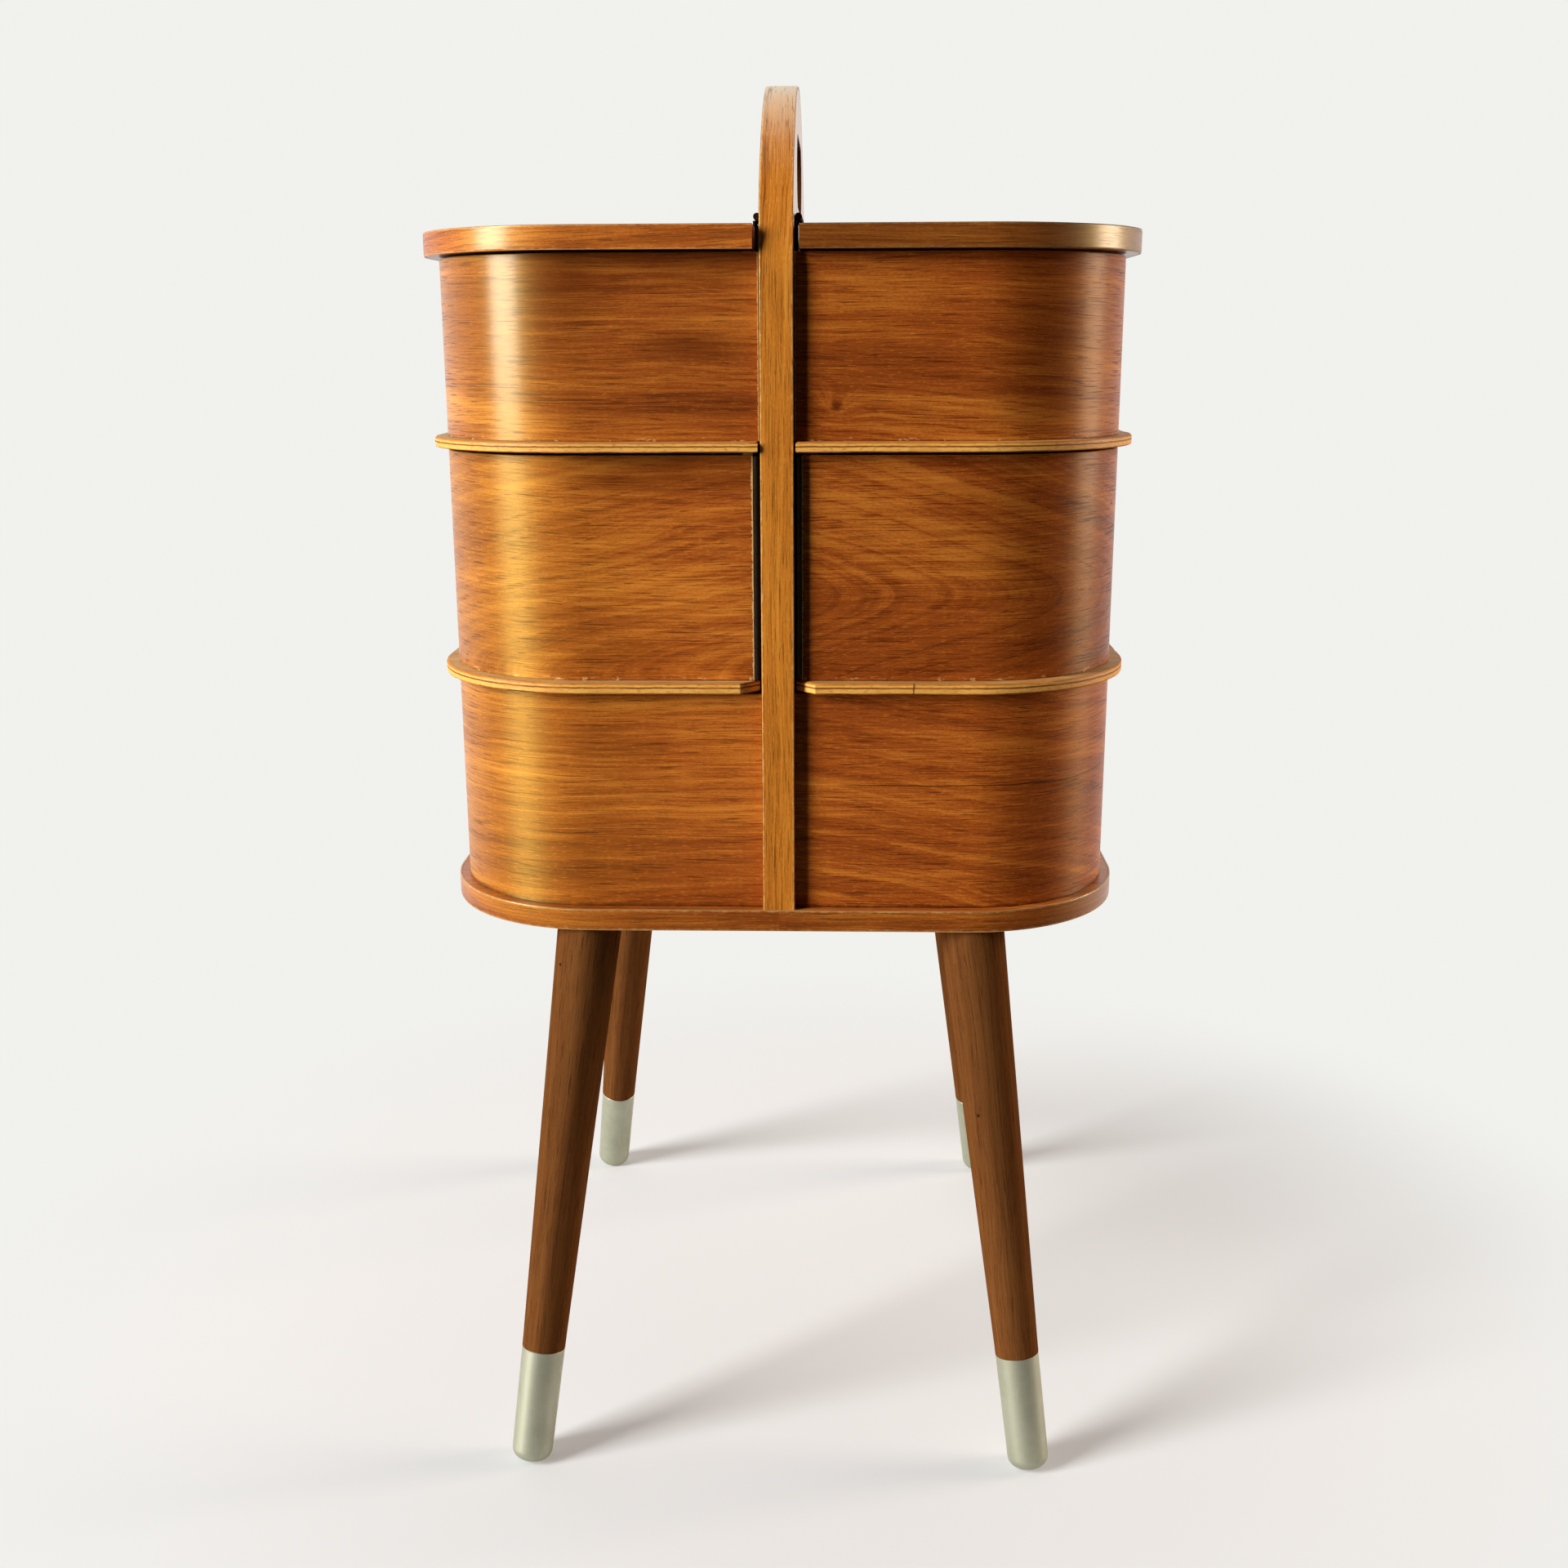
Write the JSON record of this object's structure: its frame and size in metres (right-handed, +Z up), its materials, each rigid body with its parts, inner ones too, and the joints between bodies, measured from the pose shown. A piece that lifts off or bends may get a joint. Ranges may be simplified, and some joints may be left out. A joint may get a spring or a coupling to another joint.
{
  "type": "sewing box",
  "caption": "Teak-veneered sewing box on splayed tapered legs, with hinged lids, swing-out trays and an arched centre board that is its carrying handle.",
  "frame": {"origin": "on the ground, under the middle of the centre board", "axes": "+Z up, +X to the right as seen from the front, +Y from front to rear"},
  "size_m": [0.292, 0.2918, 0.568],
  "materials": {
    "shell_veneer": "oiled teak veneer with horizontal grain on bent plywood",
    "lid_veneer": "oiled teak veneer on plywood",
    "base_veneer": "oiled teak veneer on plywood",
    "board_veneer": "golden teak veneer with vertical grain",
    "edge_veneer": "teak edge veneer along the edge",
    "plywood_plate": "plywood with bare ply edges, stained faces",
    "inner_wall_wood": "plain light plywood, unstained",
    "leg_wood": "turned hardwood, stained and lacquered",
    "ferrule_metal": "dulled grey sheet metal, matte",
    "hinge_metal": "blackened steel strip, aged",
    "hinge_pins": "steel wire, aged",
    "fasteners": "steel, dull"
  },
  "bodies": {
    "frame": {"base_edge_band": "edge_veneer", "base_panel": "base_veneer", "board_edge_band": "edge_veneer", "board_lid_hinge_leaves": "hinge_metal", "board_lid_hinge_screws": "fasteners", "board_screws": "fasteners", "board_tray_hinge_leaves": "hinge_metal", "board_tray_hinge_screws": "fasteners", "centre_board": "board_veneer", "front_left_ferrule": "ferrule_metal", "front_left_leg": "leg_wood", "front_right_ferrule": "ferrule_metal", "front_right_leg": "leg_wood", "left_bottom_shell": "shell_veneer", "leg_studs": "fasteners", "leg_tee_nuts": "fasteners", "lid_hinge_pins": "hinge_pins", "rear_left_ferrule": "ferrule_metal", "rear_left_leg": "leg_wood", "rear_right_ferrule": "ferrule_metal", "rear_right_leg": "leg_wood", "right_bottom_shell": "shell_veneer", "tray_hinge_pins": "hinge_pins"},
    "left_lid": {"left_lid_edge_band": "edge_veneer", "left_lid_hinge_leaves": "hinge_metal", "left_lid_hinge_screws": "fasteners", "left_lid_panel": "lid_veneer"},
    "left_middle_tray": {"left_middle_hinge_leaf": "hinge_metal", "left_middle_hinge_screws": "fasteners", "left_middle_inner_wall": "inner_wall_wood", "left_middle_plate": "plywood_plate", "left_middle_shell": "shell_veneer"},
    "left_top_tray": {"left_top_hinge_leaf": "hinge_metal", "left_top_hinge_screws": "fasteners", "left_top_inner_wall": "inner_wall_wood", "left_top_plate": "plywood_plate", "left_top_shell": "shell_veneer"},
    "right_lid": {"right_lid_edge_band": "edge_veneer", "right_lid_hinge_leaves": "hinge_metal", "right_lid_hinge_screws": "fasteners", "right_lid_panel": "lid_veneer"},
    "right_middle_tray": {"right_middle_hinge_leaf": "hinge_metal", "right_middle_hinge_screws": "fasteners", "right_middle_inner_wall": "inner_wall_wood", "right_middle_plate": "plywood_plate", "right_middle_shell": "shell_veneer"},
    "right_top_tray": {"right_top_hinge_leaf": "hinge_metal", "right_top_hinge_screws": "fasteners", "right_top_inner_wall": "inner_wall_wood", "right_top_plate": "plywood_plate", "right_top_shell": "shell_veneer"}
  },
  "joints": [
    {"name": "left_middle_tray_swing", "type": "hinge", "parent": "frame", "child": "left_middle_tray", "pos_m": [-0.008, -0.1045, 0.37775], "axis": [0, 0, 1], "range_deg": [0, 90]},
    {"name": "right_middle_tray_swing", "type": "hinge", "parent": "frame", "child": "right_middle_tray", "pos_m": [0.008, -0.1045, 0.37775], "axis": [0, 0, -1], "range_deg": [0, 90]},
    {"name": "left_top_tray_swing", "type": "hinge", "parent": "frame", "child": "left_top_tray", "pos_m": [-0.008, 0.1045, 0.46225], "axis": [0, 0, -1], "range_deg": [0, 90]},
    {"name": "right_top_tray_swing", "type": "hinge", "parent": "frame", "child": "right_top_tray", "pos_m": [0.008, 0.1045, 0.46225], "axis": [0, 0, 1], "range_deg": [0, 90]},
    {"name": "left_lid_hinge", "type": "hinge", "parent": "frame", "child": "left_lid", "pos_m": [-0.008, 0, 0.5109], "axis": [0, 1, 0], "range_deg": [0, 93]},
    {"name": "right_lid_hinge", "type": "hinge", "parent": "frame", "child": "right_lid", "pos_m": [0.008, 0, 0.5109], "axis": [0, -1, 0], "range_deg": [0, 93]}
  ]
}
